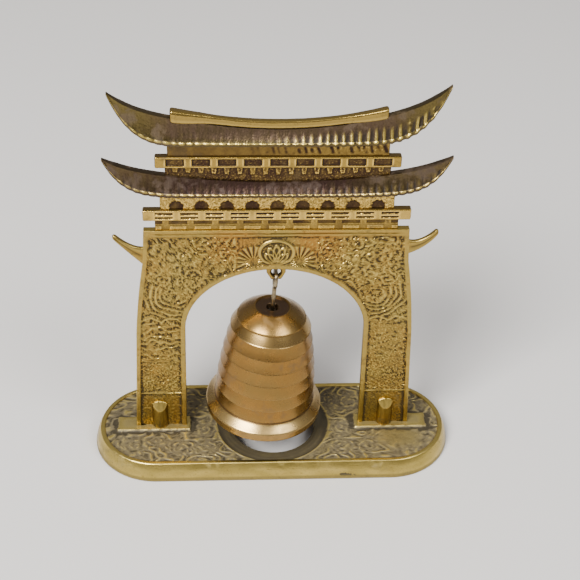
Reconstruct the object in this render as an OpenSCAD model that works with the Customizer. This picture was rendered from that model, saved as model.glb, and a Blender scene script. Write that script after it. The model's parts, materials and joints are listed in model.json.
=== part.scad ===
// Table-top temple bell: a cast brass gate on an oval base, with a turned bell
// hanging in the arch from a bent wire. +X is right seen from the front,
// +Y is the back, +Z is up, and the origin is under the middle of the base.

/* [Base] */
// Length of the base along X
base_length = 140; // [138:0.5:150]
// Depth of the base along Y
base_depth = 50; // [50:0.5:54]
// Height of the base to its polished rim
base_height = 7.6; // [7.4:0.1:9]
// Radius of the round opening under the bell
base_hole_r = 16.5; // [15:0.1:17]
// Radius of the smooth ring round the opening
ring_r = 22; // [20.5:0.1:23]

/* [Gate] */
// Thickness of the gate casting
gate_thickness = 3; // [2.6:0.1:3.2]
// Half-width of the gate at its feet
foot_half = 53.8; // [53:0.1:55]
// Half-width of the gate at its top corners
shoulder_half = 47.1; // [46:0.1:48]
// Half-width of the arch opening
arch_half = 34; // [33.8:0.1:34.5]
// Height of the top of the arch opening
arch_top = 83; // [82.8:0.1:83.4]
// Height of the top edge of the gate
gate_top = 100; // [99.5:0.1:101]

/* [Roofs] */
// Half-span of the lower roof, tip to centre
lower_roof_half = 59.9; // [59:0.1:61]
// Half-span of the upper roof, tip to centre
upper_roof_half = 56.8; // [56:0.1:58]
// How far each roof stands out from the middle of the gate
roof_reach = 3.7; // [3.3:0.1:4.5]

/* [Bell] */
// Greatest radius of the bell's lip
lip_r = 22.4; // [21.5:0.1:22.8]
// Overall height of the bell
bell_height = 48; // [47:0.1:49]
// Thickness of the bell's wall
bell_wall = 2.2; // [1.8:0.1:2.4]
// Radius of the clapper's ball
ball_r = 3.6; // [3:0.1:3.8]

/* [Hanging] */
// Radius of the hanger's wire
wire_r = 0.8; // [0.7:0.02:0.8]
// Lean of the hanging bell to the left
lean = 3.6; // [0:0.1:4]

/* [Hidden] */
$fn = 96;
cut = 1;                            // how far a cutting tool runs past a face

brass = [0.72, 0.60, 0.33];
aged_brass = [0.58, 0.50, 0.30];
red_brown = [0.38, 0.27, 0.18];
bell_gold = [0.74, 0.56, 0.30];
steel = [0.45, 0.44, 0.43];

// Base
end_r = base_depth / 2;             // radius of each round end
end_x = base_length / 2 - end_r;    // middle of each round end
wall_lean = 2.2;                    // how far the side wall leans in
rim_width = 1.6;
field_drop = 0.6;                   // the patterned field lies this far below the rim
ring_drop = 0.4;                    // the ring lies this far below the field
skirt = 2.6;                        // thickness of the side wall
plate_under = 4.4;                  // height of the plate's underside
pad_rise = 0.8;                     // leg pads above the field
pad_inner = 32.7;
pad_outer = 61;
pad_half_depth = 3.8;
seat_z = base_height - field_drop + pad_rise;

// Leg screws
screw_x = 44.3;
boss_r = 3.3;
boss_top = 20.4;
boss_front_top = 16.6;
screw_r = 1.5;
thread_bore_r = 1.45;
screw_hole_r = 1.65;
screw_head_r = 2.9;
screw_head_h = 1.8;
screw_slot = 0.7;
screw_end = 17;
washer_t = 0.6;
washer_r = 3.6;
head_top = plate_under - washer_t;

// Gate outline
leg_straight_top = 54;              // the leg's outer edge is straight up to here
leg_upper_half = 51.7;              // half-width there
waist_half = 47.9;                  // narrowest width, just under the side horns
waist_z = 86;
spring_half = 33.4;                 // half-width and height where the arch begins
spring_z = 55.5;
arch_steps = 14;
horn_tip = [57.6, 99.4];
horn_thickness = 2;

// Lug and hanger
lug_hole_z = 81.4;
lug_hole_r = 1.8;
lug_bottom = 78.4;
lug_thickness = 2.2;
hang_z = lug_hole_z - lug_hole_r + wire_r + 0.1;   // middle of the wire in the lug

// Tiers
neck_half_t = 0.9;
beam_half_t = 1.7;
neck1_half = 42.9;
beam1_z = 104.2;
beam1_half = 47;
beam_h = 4.2;
neck2_half = 40.9;
neck3_half = 38.7;
beam2_z = 125.5;
beam2_half = 42;
neck4_half = 37.7;

// Roof curves: height at the middle, rise to the tips, and how sharply the ends turn up
lower_ridge = [119.8, 6.2, 3.2];
lower_eave = [115, 13.4, 9];
upper_ridge = [140.3, 11.2, 4.5];
upper_eave = [135, 20.2, 7.2];
roof_steps = 24;                    // stations from the middle to a tip
ridge_half_t = 1.4;
ridge_share = 0.7;                  // at the tips the ridge is this part of the eave's width
eave_edge = 1;                      // thickness of the eave's edge
tip_half_t = 0.8;
cap_stations = 15;                  // the ridge cap ends this many stations out
cap_half_t = 1.3;

// Bell, measured down from its crown
crown_z = 65.5;
crown_r = 7;
crown_recess_r = 6.3;
crown_recess = 0.5;
crown_hole_r = 2.3;
crown_t = 2.9;
shoulder_drop = 4.4;
shoulder_r = 13;
second_drop = 8.4;
second_r = 15.2;
band_count = 6;
waist_drop = 41.4;
waist_r = 19.2;
band_step = 0.35;                   // each band starts this much inside the one above
flare_drop = 44.6;
lip_bottom_r = lip_r - 0.3;

// Hanging parts, measured down from the lug
ring_mid_r = 2.2;
washer2_t = 0.8;
washer2_r = 4.6;
washer2_hole_r = 1.5;
play = 0.05;
crown_under = crown_z - crown_t;
washer2_z = crown_under - play - washer2_t;
crown_pivot_z = washer2_z - play - wire_r;
clapper_pivot_z = crown_pivot_z - 2 * ring_mid_r;
loop_half = 2.6;
loop_bend = 1.3;
loop_side = 3;
eye_wire_r = 0.55;
eye_mid_r = 1.55;
rod_r = 0.7;
ball_drop = 27;                     // ball below the clapper's pivot
ball_tail = 2.4;

// ---------------------------------------------------------------- helpers

// A solid with the same section all round a straight-sided oval
module oval(section) {
    for (side = [-1, 1]) translate([side * end_x, 0, 0]) rotate_extrude() polygon(section);
    mirrored = [for (i = [len(section) - 1:-1:0]) [-section[i][0], section[i][1]]];
    rotate([90, 0, 90]) translate([0, 0, -end_x]) linear_extrude(2 * end_x)
        polygon(concat(section, mirrored));
}

// A flat plate with its outline in the XZ plane, centred on Y
module upright(thickness) {
    translate([0, thickness / 2, 0]) rotate([90, 0, 0]) linear_extrude(thickness) children();
}

// A box centred on X and Y between two heights
module bar(half_x, half_y, low, high) {
    translate([-half_x, -half_y, low]) cube([2 * half_x, 2 * half_y, high - low]);
}

// A curve from a to c that is pulled towards b
function bend(a, b, c, t) = (1 - t) * (1 - t) * a + 2 * t * (1 - t) * b + t * t * c;

// Everything that hangs leans about the wire in the lug
module hung() {
    translate([0, 0, hang_z]) rotate([0, lean, 0]) translate([0, 0, -hang_z]) children();
}

// ---------------------------------------------------------------- base

module base_casting() color(aged_brass) difference() {
    union() {
        difference() {
            oval([[0, 0], [end_r, 0], [end_r, 1.2], [end_r - wall_lean + 0.4, base_height - 0.8],
                  [end_r - wall_lean, base_height], [0, base_height]]);
            field_r = end_r - wall_lean - rim_width;
            oval([[0, base_height - field_drop], [field_r, base_height - field_drop],
                  [field_r, base_height + cut], [0, base_height + cut]]);
            intersection() {
                translate([0, 0, base_height - field_drop - ring_drop]) cylinder(r = ring_r, h = 5);
                cube([base_length, 2 * field_r, 4 * base_height], center = true);
            }
        }
        for (side = [-1, 1]) translate([side * (pad_inner + pad_outer) / 2, 0, 0])
            bar((pad_outer - pad_inner) / 2, pad_half_depth, plate_under, seat_z);
    }
    cavity_r = end_r - skirt;
    oval([[0, -cut], [cavity_r, -cut], [cavity_r - 0.8, plate_under], [0, plate_under]]);
    translate([0, 0, -cut]) cylinder(r = base_hole_r, h = base_height + 3 * cut);
    for (side = [-1, 1]) translate([side * screw_x, 0, 0]) cylinder(r = screw_hole_r, h = 12);
}

module leg_screw(side) color(steel) translate([side * screw_x, 0, 0]) {
    difference() {
        translate([0, 0, head_top - screw_head_h]) cylinder(r = screw_head_r, h = screw_head_h);
        translate([0, 0, head_top - screw_head_h])
            cube([2 * screw_head_r + cut, screw_slot, 2 * screw_slot], center = true);
    }
    translate([0, 0, head_top - play]) cylinder(r = screw_r, h = screw_end - head_top);
}

module leg_washer(side) color(steel) translate([side * screw_x, 0, head_top]) difference() {
    cylinder(r = washer_r, h = washer_t);
    translate([0, 0, -cut]) cylinder(r = screw_hole_r, h = washer_t + 2 * cut);
}

// ---------------------------------------------------------------- gate

// One side of the gate's outline, from the foot up the outer edge, then down the arch
function gate_side(side) = concat(
    [[foot_half, seat_z], [leg_upper_half, leg_straight_top]],
    [for (i = [1:5]) bend([leg_upper_half, leg_straight_top], [50.4, 72], [waist_half, waist_z], i / 5)],
    [[shoulder_half, gate_top], [0, gate_top], [0, arch_top]],
    [for (i = [1:arch_steps]) let (a = 90 - 90 * i / arch_steps)
        [spring_half * cos(a), spring_z + (arch_top - spring_z) * sin(a)]],
    [[arch_half, seat_z]]);

// A horn that sweeps out and up from the shoulder of the gate
horn_outline = concat(
    [for (i = [0:6]) bend([47.6, 94.8], [51, 92.4], horn_tip, i / 6)],
    [for (i = [6:-1:0]) bend([47.6, 89.6], [54, 91.6], horn_tip - [0, 1.2], i / 6)]);

module leg_boss(side) translate([side * screw_x, 0, 0]) difference() {
    translate([0, 0, seat_z]) cylinder(r = boss_r, h = boss_top - seat_z);
    for (face = [0, 180]) rotate([0, 0, face]) translate([0, -gate_thickness / 2, boss_top])
        rotate([atan((boss_top - boss_front_top) / (boss_r - gate_thickness / 2)), 0, 0])
            translate([-2 * boss_r, -4 * boss_r, 0]) cube([4 * boss_r, 4 * boss_r, 2 * boss_r]);
}

module gate_arch() color(brass) difference() {
    union() {
        upright(gate_thickness) polygon(gate_side(1));
        mirror([1, 0, 0]) upright(gate_thickness) polygon(gate_side(1));
        upright(horn_thickness) polygon(horn_outline);
        mirror([1, 0, 0]) upright(horn_thickness) polygon(horn_outline);
        upright(lug_thickness) polygon([[-4.4, arch_top + 1], [-3.3, lug_bottom + 1],
            [-2.3, lug_bottom], [2.3, lug_bottom], [3.3, lug_bottom + 1], [4.4, arch_top + 1]]);
        for (side = [-1, 1]) leg_boss(side);
    }
    translate([0, 0, lug_hole_z]) rotate([90, 0, 0])
        cylinder(r = lug_hole_r, h = 4 * gate_thickness, center = true);
    for (side = [-1, 1]) translate([side * screw_x, 0, 0]) cylinder(r = thread_bore_r, h = screw_end + cut);
}

// A neck plate between a level edge and the line of the roof that it meets
module neck(half, level, roof_line) {
    upright(2 * neck_half_t) polygon(concat(
        [[half, level], [-half, level], [-half, lookup(-half, roof_line)]],
        [for (p = roof_line) if (abs(p[0]) < half) p],
        [[half, lookup(half, roof_line)]]));
}

module lower_frieze() color(brass) {
    bar(neck1_half, neck_half_t, gate_top, beam1_z);
    bar(beam1_half, beam_half_t, beam1_z, beam1_z + beam_h);
    neck(neck2_half, beam1_z + beam_h, lower_under_line);
}

module upper_frieze() color(brass) {
    neck(neck3_half, beam2_z, lower_ridge_line);
    bar(beam2_half, beam_half_t, beam2_z, beam2_z + beam_h);
    neck(neck4_half, beam2_z + beam_h, upper_under_line);
}

// ---------------------------------------------------------------- roofs

// u runs from -1 at one tip to 1 at the other. Heights are kept to a hundredth of a
// millimetre, so that the nearly level middle stretch is exactly level.
function hundredth(v) = round(v * 100) / 100;
function ridge_at(curve, u) = hundredth(curve[0] + curve[1] * u * u + curve[2] * pow(abs(u), 8));
function eave_at(curve, u) = hundredth(curve[0] + curve[1] * pow(abs(u), curve[2]));
lower_ridge_line = [for (i = [-roof_steps:roof_steps])
    [lower_roof_half * i / roof_steps, ridge_at(lower_ridge, i / roof_steps)]];
lower_under_line = [for (i = [-roof_steps:roof_steps])
    [lower_roof_half * i / roof_steps, eave_at(lower_eave, i / roof_steps)]];
upper_under_line = [for (i = [-roof_steps:roof_steps])
    [upper_roof_half * i / roof_steps, eave_at(upper_eave, i / roof_steps)]];
function reach_at(u) = hundredth(tip_half_t + (roof_reach - tip_half_t) * (1 - pow(abs(u), 6)));
function ridge_t_at(u) = min(ridge_half_t, ridge_share * reach_at(u));

// The roof's six-sided section at one station
function roof_section(half, ridge, eave, u) =
    let (x = half * u, top = ridge_at(ridge, u), low = eave_at(eave, u), d = reach_at(u),
         edge = min(eave_edge, (top - low) / 2), t = ridge_t_at(u))
    [[x, t, top], [x, d, low + edge], [x, d, low], [x, -d, low], [x, -d, low + edge], [x, -t, top]];

// Joins a row of sections along +X into one solid. Each section has the same number
// of points, in clockwise order seen from +X.
module skin(sections) {
    n = len(sections[0]);
    last = len(sections) - 1;
    polyhedron(
        points = [for (s = sections) for (p = s) p],
        faces = concat(
            [[for (j = [0:n - 1]) j]],
            [for (i = [0:last - 1]) for (j = [0:n - 1])
                let (a = i * n + j, b = i * n + (j + 1) % n) each
                [[a, a + n, b + n], [a, b + n, b]]],
            [[for (j = [n - 1:-1:0]) last * n + j]]),
        convexity = 6);
}

module roof(half, ridge, eave) {
    skin([for (i = [-roof_steps:roof_steps]) roof_section(half, ridge, eave, i / roof_steps)]);
}

module lower_roof() color(red_brown) roof(lower_roof_half, lower_ridge, lower_eave);

module upper_roof() color(red_brown) roof(upper_roof_half, upper_ridge, upper_eave);

// The cap's rounded section, standing on the upper roof's ridge
cap_section = [[-1, 0], [-1, 0.55], [-0.8, 0.85], [-0.4, 1], [0.4, 1], [0.8, 0.85], [1, 0.55], [1, 0]];
cap_height = 2.9;

module ridge_cap() color(brass)
    skin([for (i = [-cap_stations:cap_stations]) let (u = i / roof_steps)
        [for (p = cap_section)
            [upper_roof_half * u, p[0] * cap_half_t, ridge_at(upper_ridge, u) + p[1] * cap_height]]]);

// ---------------------------------------------------------------- hanging parts

// Part of a ring of wire about the origin in the XY plane
module wire_arc(mid_r, r, angle) rotate_extrude(angle = angle) translate([mid_r, 0]) circle(r = r);

// Closed loop in the YZ plane: straight through the lug, round below
module lug_loop() {
    rotate([90, 0, 0]) cylinder(r = wire_r, h = 2 * (loop_half - loop_bend), center = true);
    for (side = [0, 180]) rotate([0, 0, side]) {
        translate([0, loop_half - loop_bend, -loop_bend]) rotate([90, 0, 90])
            wire_arc(loop_bend, wire_r, 90);
        translate([0, loop_half, -loop_side]) cylinder(r = wire_r, h = loop_side - loop_bend);
    }
    translate([0, 0, -loop_side]) rotate([90, 180, 90]) wire_arc(loop_half, wire_r, 180);
}

module hanger_hook() color(steel) hung() {
    translate([0, 0, hang_z]) lug_loop();
    translate([0, 0, crown_pivot_z])
        cylinder(r = wire_r, h = hang_z - loop_side - loop_half - crown_pivot_z);
    translate([0, 0, crown_pivot_z - ring_mid_r]) rotate([90, 0, 0]) wire_arc(ring_mid_r, wire_r, 360);
}

module crown_washer() color(steel) hung() translate([0, 0, washer2_z]) difference() {
    cylinder(r = washer2_r, h = washer2_t);
    translate([0, 0, -cut]) cylinder(r = washer2_hole_r, h = washer2_t + 2 * cut);
}

// Radius of the bell at the foot of each lower band
function band_r(k) = second_r + (waist_r - second_r) * (1 - pow(1 - k / band_count, 1.8));
function band_drop(k) = second_drop + (waist_drop - second_drop) * k / band_count;

bell_outside = concat(
    [[crown_hole_r, crown_z - crown_recess], [crown_recess_r, crown_z - crown_recess],
     [crown_recess_r, crown_z], [crown_r, crown_z], [shoulder_r, crown_z - shoulder_drop],
     [shoulder_r - band_step / 2, crown_z - shoulder_drop], [second_r, crown_z - second_drop]],
    [for (k = [1:band_count]) each
        [[band_r(k - 1) - band_step, crown_z - band_drop(k - 1)], [band_r(k), crown_z - band_drop(k)]]],
    [[lip_r, crown_z - flare_drop], [lip_bottom_r, crown_z - bell_height]]);
bell_inside = [
    [lip_bottom_r - bell_wall, crown_z - bell_height],
    [waist_r - bell_wall, crown_z - flare_drop + 1],
    for (k = [band_count - 1:-1:1]) [band_r(k) - band_step - bell_wall, crown_z - band_drop(k)],
    [second_r - bell_wall - 0.6, crown_z - second_drop - 1],
    [shoulder_r - bell_wall - 2.4, crown_under - 2.2],
    [washer2_r + 0.8, crown_under], [crown_hole_r, crown_under]];

module bell() color(bell_gold) hung() rotate_extrude() polygon(concat(bell_outside, bell_inside));

module clapper_rod() color(steel) hung() translate([0, 0, clapper_pivot_z]) {
    rotate([90, 0, 90]) wire_arc(eye_mid_r, eye_wire_r, 360);
    translate([0, 0, -ball_drop - ball_r - ball_tail / 2])
        cylinder(r = rod_r, h = ball_drop + ball_r + ball_tail / 2 - eye_mid_r);
}

module clapper_ball() color(brass) hung() translate([0, 0, clapper_pivot_z - ball_drop])
    difference() {
        sphere(r = ball_r);
        cylinder(r = rod_r, h = 3 * ball_r, center = true);
    }

base_casting();
leg_screw(-1);  // left_leg_screw
leg_screw(1);  // right_leg_screw
leg_washer(-1);  // left_leg_washer
leg_washer(1);  // right_leg_washer
gate_arch();
lower_frieze();
lower_roof();
upper_frieze();
upper_roof();
ridge_cap();
hanger_hook();
crown_washer();
bell();
clapper_rod();
clapper_ball();
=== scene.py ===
"""Looks of the table-top temple bell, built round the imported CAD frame.

Lengths are millimetres in the CAD frame (X right, Y back, Z up) and become metres when
a mesh is made. The floor, the lights and the camera's place are in metres. Cast relief,
ribs, turned bands and pits are geometry.
"""

import json
import math

import bpy  # noqa: E402
import numpy as np  # noqa: E402
from mathutils import Matrix, Vector  # noqa: E402


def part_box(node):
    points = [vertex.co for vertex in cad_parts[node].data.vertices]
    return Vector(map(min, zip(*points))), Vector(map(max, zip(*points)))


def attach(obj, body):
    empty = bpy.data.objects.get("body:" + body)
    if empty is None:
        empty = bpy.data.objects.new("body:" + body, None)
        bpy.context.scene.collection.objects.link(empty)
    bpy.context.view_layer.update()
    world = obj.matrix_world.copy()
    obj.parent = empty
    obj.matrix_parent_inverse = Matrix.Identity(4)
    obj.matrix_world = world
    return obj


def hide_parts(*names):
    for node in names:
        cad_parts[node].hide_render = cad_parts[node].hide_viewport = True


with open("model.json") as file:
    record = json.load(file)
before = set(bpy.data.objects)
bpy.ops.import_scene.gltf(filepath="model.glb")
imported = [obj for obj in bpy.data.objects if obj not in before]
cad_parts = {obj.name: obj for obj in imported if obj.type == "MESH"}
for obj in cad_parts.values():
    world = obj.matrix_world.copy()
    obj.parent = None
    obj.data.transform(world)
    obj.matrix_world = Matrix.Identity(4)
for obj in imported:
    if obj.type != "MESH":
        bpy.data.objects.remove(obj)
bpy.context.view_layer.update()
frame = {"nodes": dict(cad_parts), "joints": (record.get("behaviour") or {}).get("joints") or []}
MM = 0.001
TAU = 2 * math.pi
JOINTS = {joint["name"]: joint for joint in frame["joints"]}


# ---- numbers and noise


def node_box(node):
    """A CAD node's lowest and highest corners in millimetres."""
    low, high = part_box(node)
    return np.array(low) / MM, np.array(high) / MM


def smooth(low, high, value):
    """0 at low, 1 at high, with a soft start and finish. Low may be above high."""
    t = np.clip((value - low) / (high - low), 0, 1)
    return t * t * (3 - 2 * t)


def ridge(value, sharp=1.0):
    """1 at each whole number, 0 half-way between."""
    return (0.5 + 0.5 * np.cos(TAU * value)) ** sharp


class Noise:
    """Smooth repeatable two-way noise, from about -1 to 1."""

    SIZE = 256

    def __init__(self, seed):
        angle = np.random.default_rng(seed).uniform(0, TAU, (self.SIZE, self.SIZE))
        self.gx, self.gy = np.cos(angle), np.sin(angle)

    def __call__(self, x, y):
        x, y = np.broadcast_arrays(np.asarray(x, float), np.asarray(y, float))
        xi, yi = np.floor(x).astype(int), np.floor(y).astype(int)
        fx, fy = x - xi, y - yi

        def corner(i, j):
            a, b = (xi + i) % self.SIZE, (yi + j) % self.SIZE
            return self.gx[a, b] * (fx - i) + self.gy[a, b] * (fy - j)

        sx, sy = (t * t * t * (t * (6 * t - 15) + 10) for t in (fx, fy))
        near = corner(0, 0) * (1 - sx) + corner(1, 0) * sx
        far = corner(0, 1) * (1 - sx) + corner(1, 1) * sx
        return 1.5 * (near * (1 - sy) + far * sy)


N_BROAD, N_WARP, N_LEAF, N_FINE = Noise(11), Noise(23), Noise(37), Noise(53)


def foliage(x, y, size):
    """Crisp curling crests like worn cast leaves, 0 in the hollows to 1."""
    wx = x + 0.9 * size * N_WARP(x / (1.6 * size), y / (1.6 * size))
    wy = y + 0.9 * size * N_WARP(y / (1.6 * size) + 40, x / (1.6 * size) - 40)
    crest = 1 - np.abs(N_LEAF(wx / size, wy / size)) * 2.4
    return np.clip(crest, 0, 1) ** 1.3


def swirl(x, y, size, shift=0.0):
    """Crests that flow and curl like engraved leaves, about 0.7 size apart."""
    bend_a = 2.4 * N_BROAD(x / (5 * size) + shift, y / (5 * size))
    bend_b = 0.8 * N_WARP(x / (2.2 * size), y / (2.2 * size) + shift)
    return ridge(bend_a + bend_b, 1.3)


def soften(grid, reach):
    """Box blur of a 2-D array, the same both ways."""
    for axis in (0, 1):
        width = min(reach, (grid.shape[axis] - 1) // 2)
        pad = [(0, 0), (0, 0)]
        pad[axis] = (width + 1, width)
        total = np.cumsum(np.pad(grid, pad, mode="edge"), axis=axis)
        ahead = np.take(total, range(2 * width + 1, total.shape[axis]), axis=axis)
        behind = np.take(total, range(total.shape[axis] - 2 * width - 1), axis=axis)
        grid = (ahead - behind) / (2 * width + 1)
    return grid


def raised(height, reach=5, gain=2.2):
    """How much each point stands above its neighbourhood, 0 hollow to 1 crest."""
    return np.clip(0.5 + gain * (height - soften(height, reach)), 0, 1)


# ---- meshes


def quads(i, j, ahead, beside, m):
    """Faces between grid points (i, j) and the next ones along both ways."""
    corners = [i * m + j, i * m + beside, ahead * m + beside, ahead * m + j]
    return np.stack([c.ravel() for c in corners], 1).tolist()


class Shape:
    """Collects closed shells of points and faces, with their surface values."""

    def __init__(self):
        self.points, self.faces, self.count = [], [], 0
        self.values = {"relief": [], "tone": []}

    def add(self, points, faces, relief, tone):
        """Takes in a closed shell and its surface values."""
        self.points.append(points)
        self.faces += [tuple(k + self.count for k in face) for face in faces]
        for name, given in (("relief", relief), ("tone", tone)):
            self.values[name].append(np.broadcast_to(np.ravel(given), len(points)))
        self.count += len(points)

    def loft(self, rings, relief, tone):
        """Rings (n, m, 3) of closed sections joined into a shell, a fan at each end.

        The section runs anticlockwise seen from beyond the last ring."""
        n, m = rings.shape[:2]
        i, j = np.indices((n - 1, m))
        faces = quads(i, j, i + 1, (j + 1) % m, m)
        first, last, row = n * m, n * m + 1, (n - 1) * m
        faces += [(first, (k + 1) % m, k) for k in range(m)]
        faces += [(last, row + k, row + (k + 1) % m) for k in range(m)]
        points = np.vstack([rings.reshape(-1, 3), rings[0].mean(0), rings[-1].mean(0)])
        spread = [np.append(np.broadcast_to(v, (n, m)), [0.5, 0.5]) for v in (relief, tone)]
        self.add(points, faces, *spread)

    def band(self, rings, relief, tone):
        """Rings (n, m, 3) joined into a shell closed both ways, like a ring."""
        n, m = rings.shape[:2]
        i, j = np.indices((n, m))
        self.add(rings.reshape(-1, 3), quads(i, j, (i + 1) % n, (j + 1) % m, m), relief, tone)

    def build(self, name, body, replaced, material, sharp=55):
        """Makes the piece, rides it on its body and stands it for its CAD node."""
        points = np.vstack(self.points) * MM
        mesh = bpy.data.meshes.new(name)
        mesh.from_pydata(points.tolist(), [], self.faces)
        for key, parts in self.values.items():
            layer = mesh.attributes.new(key, "FLOAT", "POINT")
            layer.data.foreach_set("value", np.concatenate(parts).astype(np.float32))
        mesh.polygons.foreach_set("use_smooth", [True] * len(mesh.polygons))
        mesh.set_sharp_from_angle(angle=math.radians(sharp))
        mesh.materials.append(material)
        mesh.update()
        piece = bpy.data.objects.new(name, mesh)
        bpy.context.scene.collection.objects.link(piece)
        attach(piece, body)
        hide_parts(replaced)


def wrapped(*sides):
    """Rings, relief and tone of a closed section from its sides in turn.

    A side is grids of x, y, z, relief and tone, or one number for a whole grid."""
    sides = [np.broadcast_arrays(*side) for side in sides]
    x, y, z, relief, tone = (np.concatenate(grids, 1) for grids in zip(*sides))
    return np.stack([x, y, z], 2), relief, tone


def flipped(*grids):
    """The same grids with their columns in the other order."""
    return [np.asarray(g)[:, ::-1] if np.ndim(g) == 2 else g for g in grids]


# ---- materials


class Nodes:
    """Short hands for building one node material."""

    MIX_A, MIX_B, MIX_RESULT = 6, 7, 2     # the mix node's colour sockets

    def __init__(self, name):
        self.material = bpy.data.materials.new(name)
        self.material.use_nodes = True
        self.tree = self.material.node_tree
        self.shader = self.tree.nodes["Principled BSDF"]
        self.coords = self.new("ShaderNodeTexCoord").outputs["Object"]

    def new(self, kind, **settings):
        node = self.tree.nodes.new(kind)
        for key, value in settings.items():
            setattr(node, key, value)
        return node

    def put(self, socket, value):
        if isinstance(value, bpy.types.NodeSocket):
            self.tree.links.new(value, socket)
        else:
            socket.default_value = value

    def value(self, name):
        """A surface value that the mesh carries."""
        return self.new("ShaderNodeAttribute", attribute_name=name).outputs["Fac"]

    def noise(self, size, detail=4.0, stretch=(1, 1, 1), rough=0.55, twist=0.0):
        """Noise with features about size millimetres across, 0 to 1."""
        mapping = self.new("ShaderNodeMapping")
        self.put(mapping.inputs["Vector"], self.coords)
        mapping.inputs["Scale"].default_value = [1 / s for s in stretch]
        node = self.new("ShaderNodeTexNoise")
        self.put(node.inputs["Vector"], mapping.outputs["Vector"])
        node.inputs["Scale"].default_value = 1 / (size * MM)
        node.inputs["Detail"].default_value = detail
        node.inputs["Roughness"].default_value = rough
        node.inputs["Distortion"].default_value = twist
        return node.outputs["Fac"]

    def between(self, value, low, high, start=0.0, stop=1.0):
        """Maps low..high onto start..stop smoothly and keeps inside it."""
        node = self.new("ShaderNodeMapRange", interpolation_type="SMOOTHSTEP")
        self.put(node.inputs["Value"], value)
        for key, number in zip(("From Min", "From Max", "To Min", "To Max"),
                               (low, high, start, stop)):
            node.inputs[key].default_value = number
        return node.outputs["Result"]

    def math(self, kind, a, b):
        node = self.new("ShaderNodeMath", operation=kind)
        self.put(node.inputs[0], a)
        self.put(node.inputs[1], b)
        return node.outputs["Value"]

    def mix(self, share, a, b):
        """Colour a where share is 0, colour b where it is 1."""
        node = self.new("ShaderNodeMix", data_type="RGBA")
        self.put(node.inputs["Factor"], share)
        self.put(node.inputs[self.MIX_A], colour(a))
        self.put(node.inputs[self.MIX_B], colour(b))
        return node.outputs[self.MIX_RESULT]

    def bump(self, height, depth, under=None):
        """Bump of about depth millimetres."""
        node = self.new("ShaderNodeBump")
        self.put(node.inputs["Height"], height)
        node.inputs["Distance"].default_value = depth * MM
        node.inputs["Strength"].default_value = 1.0
        if under is not None:
            self.put(node.inputs["Normal"], under)
        return node.outputs["Normal"]


def colour(value):
    """Linear RGBA from an (r, g, b) of screen values 0-255; sockets pass through."""
    if isinstance(value, bpy.types.NodeSocket):
        return value
    parts = [c / 255 for c in value]
    linear = [c / 12.92 if c <= 0.04045 else ((c + 0.055) / 1.055) ** 2.4 for c in parts]
    return (*linear, 1.0)


def aged_metal(name, crest, body, hollow, stain, stain_share=0.35, rough=(0.26, 0.5),
               relief=True, grain=0.05, streaks=0.0, warm=None, tone_colour=None,
               metal=(1.0, 0.75), speck=0.35, tone_dull=0.0):
    """Brass with bright rubbed crests, dark hollows and drifting stains.

    The mesh's relief value says hollow or crest; its tone value lays tone_colour on."""
    n = Nodes(name)
    drift = n.noise(14, detail=3, twist=0.6)
    mottle = n.noise(3.2, detail=5, twist=0.4)
    fine = n.noise(0.55, detail=6, rough=0.65)
    height = n.value("relief") if relief else n.between(mottle, 0.25, 0.75)
    shade = n.mix(n.between(drift, 0.35, 0.7), body, warm or body)
    if tone_colour:
        toned = n.math("MULTIPLY", n.value("tone"), n.between(mottle, 0.2, 0.6, 0.7, 1.0))
        shade = n.mix(toned, shade, tone_colour)
    shade = n.mix(n.between(height, 0.52, 0.95), shade, crest)
    dulled = n.math("ADD", n.math("MULTIPLY", drift, 0.55), n.math("MULTIPLY", mottle, 0.45))
    stained = n.between(dulled, 0.62 - 0.3 * stain_share, 0.72 - 0.15 * stain_share)
    stained = n.math("MULTIPLY", stained, n.between(height, 0.5, 0.95, 1.0, 0.35))
    shade = n.mix(n.math("MULTIPLY", stained, 0.8), shade, stain)
    deep = n.between(height, 0.48, 0.12)
    shade = n.mix(n.math("MULTIPLY", deep, 0.92), shade, hollow)
    flecks = n.between(fine, 0.5, 0.74, 0.0, speck)
    shade = n.mix(flecks, shade, hollow)
    n.put(n.shader.inputs["Base Color"], shade)
    dull = n.math("MAXIMUM", stained, deep)
    if tone_dull:
        worn = n.between(height, 0.55, 0.95, tone_dull, 0.25 * tone_dull)
        dull = n.math("MAXIMUM", dull, n.math("MULTIPLY", n.value("tone"), worn))
    n.put(n.shader.inputs["Metallic"], n.between(dull, 0.1, 0.9, *metal))
    smear = n.math("ADD", n.math("MULTIPLY", mottle, 0.5), n.math("MULTIPLY", dull, 0.6))
    n.put(n.shader.inputs["Roughness"], n.between(smear, 0.15, 0.85, *rough))
    normal = n.bump(fine, grain)
    if streaks:
        lines = n.noise(0.7, detail=3, stretch=(1, 2, 9))
        normal = n.bump(lines, streaks, under=normal)
    n.put(n.shader.inputs["Normal"], normal)
    return n.material


# ---- gate

SEAT_Z = node_box("gate_arch")[0][2]   # the feet stand on the base's pads
LEG_X = 44.3                           # boss centres, left and right
GATE_TOP = 100.0
GATE_HALF_T = 1.5
LEG_TOP_Z = 54.0
LEG_HALF = (53.8, 51.7)                # outer half-width at the foot and at LEG_TOP_Z
WAIST, WAIST_PULL = (47.9, 86.0), (50.4, 72)
SHOULDER_HALF = 47.1
ARCH_HALF = (34.0, 33.4)               # inner half-width at the foot and at the spring
SPRING_Z, ARCH_TOP = 55.5, 83.0
GATE_RECESS = 0.62                     # the field lies this far below the border
EDGE_ROUND = 0.32
LEG_LINE_Z = 24.2                      # a thin raised line across each leg, over its boss
LEG_FIELD_TOP = (57, 60)               # the legs' waves give way to the scrolls here
FIELD_TOP = 97.1
CURTAIN_X, CURTAIN_Z = 36.8, 71.5      # middle of the shoulders' layered arcs
HEM_Z, HEM_PITCH = 59.2, 7.6           # scalloped hem under the arcs
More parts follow.
